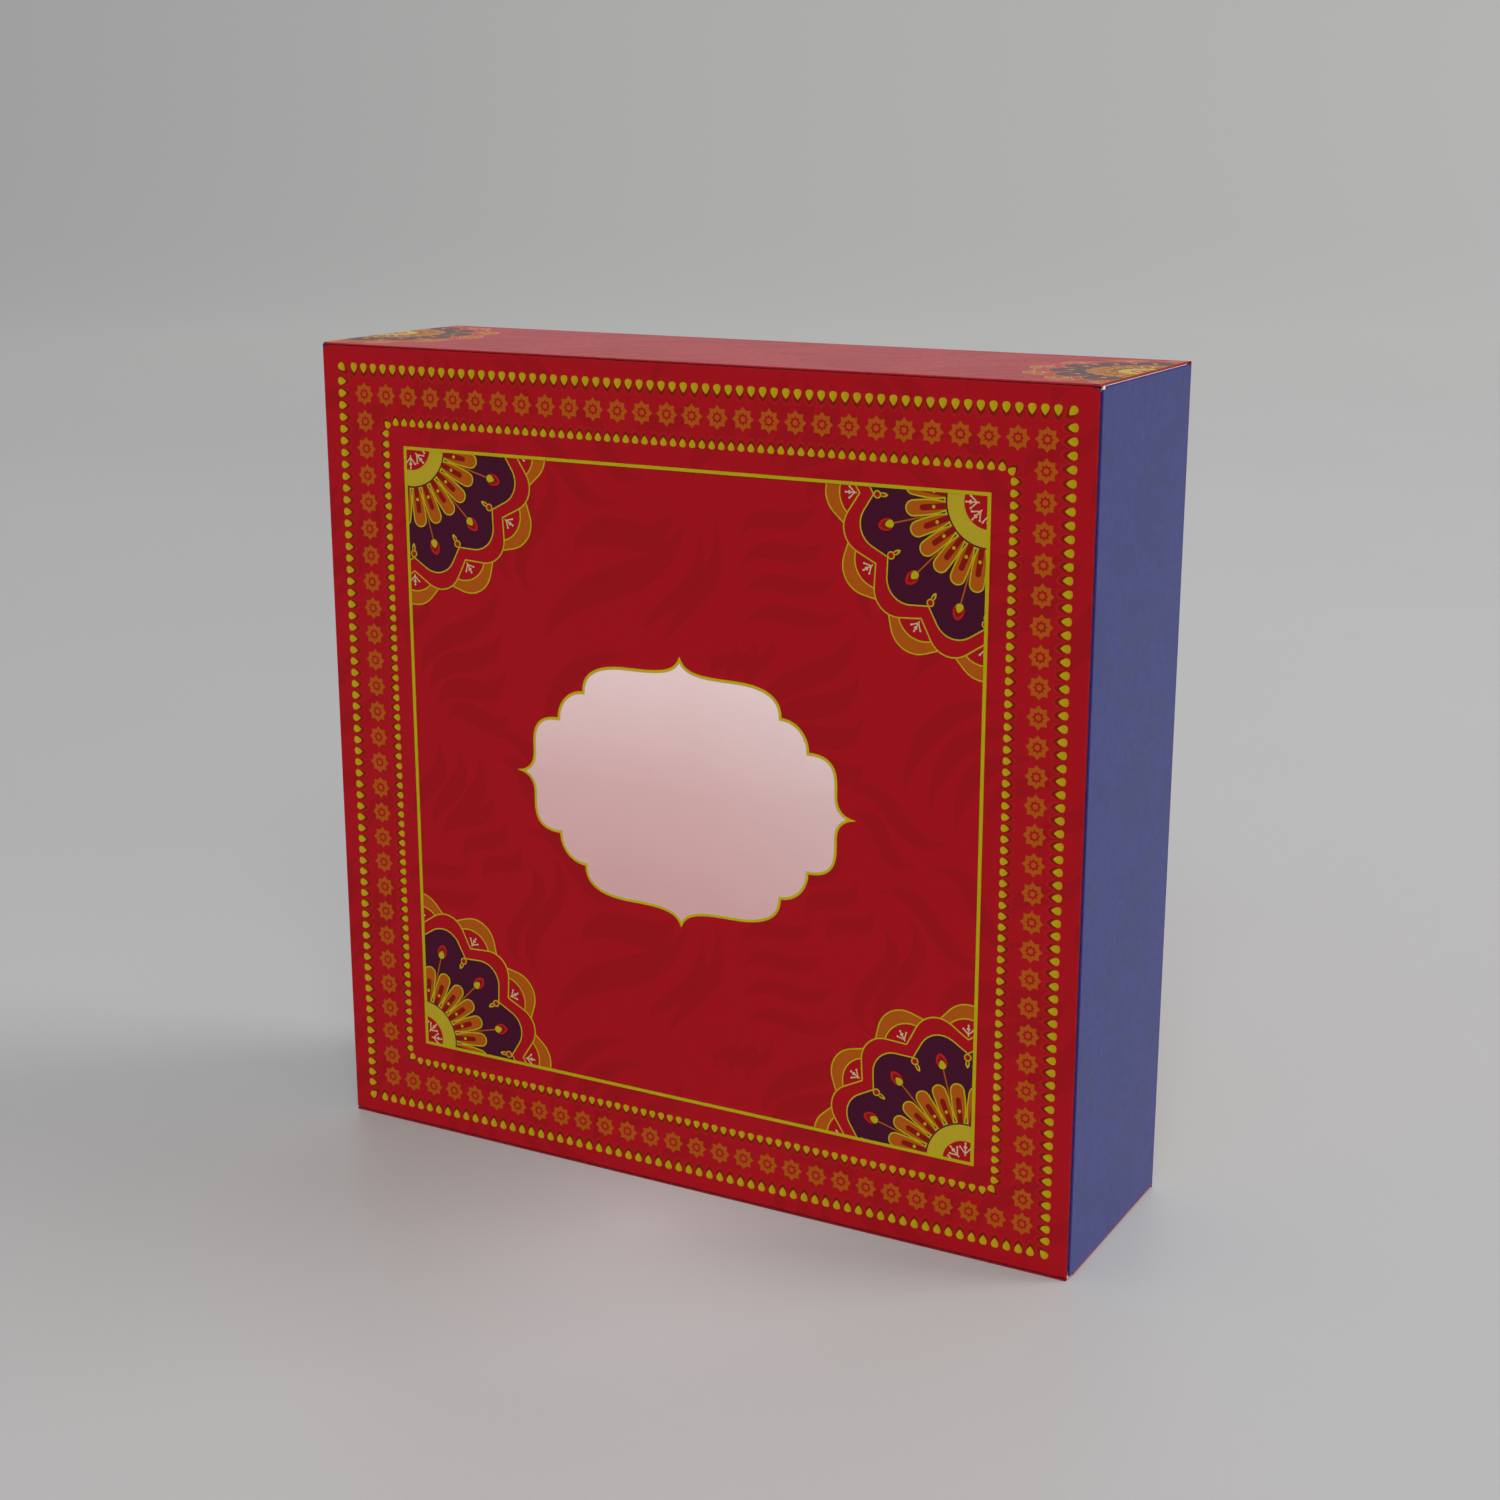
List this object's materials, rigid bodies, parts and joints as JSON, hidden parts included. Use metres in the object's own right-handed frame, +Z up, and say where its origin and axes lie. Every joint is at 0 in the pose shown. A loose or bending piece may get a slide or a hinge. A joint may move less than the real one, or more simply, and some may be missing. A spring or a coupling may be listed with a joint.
{
  "type": "hinged-lid sweet box",
  "caption": "Square folding board sweet box with a hinged lid, tuck flap, two dust flaps and a foil cartouche on the lid.",
  "frame": {"origin": "middle of the footprint of the box as it stands on its front wall", "axes": "+Z up from the front wall to the hinge wall, +Y from the lid to the base, +X to the right as the lid is faced"},
  "size_m": [0.2, 0.056, 0.2],
  "materials": {
    "base_panel": "printed red, satin varnish outside, plain white inside",
    "hinge_wall": "printed red, satin varnish outside, plain white inside",
    "front_wall": "printed red, satin varnish outside, plain white inside",
    "right_wall": "printed navy, satin varnish outside, plain white inside",
    "left_wall": "printed navy, satin varnish outside, plain white inside",
    "hinge_tab_right": "unprinted white board",
    "hinge_tab_left": "unprinted white board",
    "front_tab_right": "unprinted white board",
    "front_tab_left": "unprinted white board",
    "lid_panel": "printed red, satin varnish outside, plain white inside",
    "tuck_flap": "printed red, satin varnish outside, plain white inside",
    "right_dust_flap": "printed navy, satin varnish outside, plain white inside",
    "left_dust_flap": "printed navy, satin varnish outside, plain white inside",
    "cartouche_label": "pale satin foil with a gold printed edge"
  },
  "bodies": {
    "tray": {"base_panel": "base_panel", "hinge_wall": "hinge_wall", "front_wall": "front_wall", "right_wall": "right_wall", "left_wall": "left_wall", "hinge_tab_right": "hinge_tab_right", "hinge_tab_left": "hinge_tab_left", "front_tab_right": "front_tab_right", "front_tab_left": "front_tab_left"},
    "lid": {"lid_panel": "lid_panel", "cartouche_label": "cartouche_label"},
    "tuck": {"tuck_flap": "tuck_flap"},
    "right_flap": {"right_dust_flap": "right_dust_flap"},
    "left_flap": {"left_dust_flap": "left_dust_flap"}
  },
  "joints": [
    {"name": "lid_hinge", "type": "hinge", "parent": "tray", "child": "lid", "pos_m": [0, -0.02775, 0.19975], "axis": [-1, 0, 0], "range_deg": [0, 180]},
    {"name": "tuck_flap_fold", "type": "hinge", "parent": "lid", "child": "tuck", "pos_m": [0, -0.02775, 0.00085], "axis": [1, 0, 0], "range_deg": [0, 45]},
    {"name": "right_dust_flap_fold", "type": "hinge", "parent": "tray", "child": "right_flap", "pos_m": [0.09975, -0.0271, 0.1], "axis": [0, 0, 1], "range_deg": [0, 90]},
    {"name": "left_dust_flap_fold", "type": "hinge", "parent": "tray", "child": "left_flap", "pos_m": [-0.09975, -0.0271, 0.1], "axis": [0, 0, -1], "range_deg": [0, 90]}
  ],
  "couplings": [
    {"joint": "right_dust_flap_fold", "follows": "lid_hinge", "ratio": 0.5},
    {"joint": "left_dust_flap_fold", "follows": "lid_hinge", "ratio": 0.5}
  ]
}
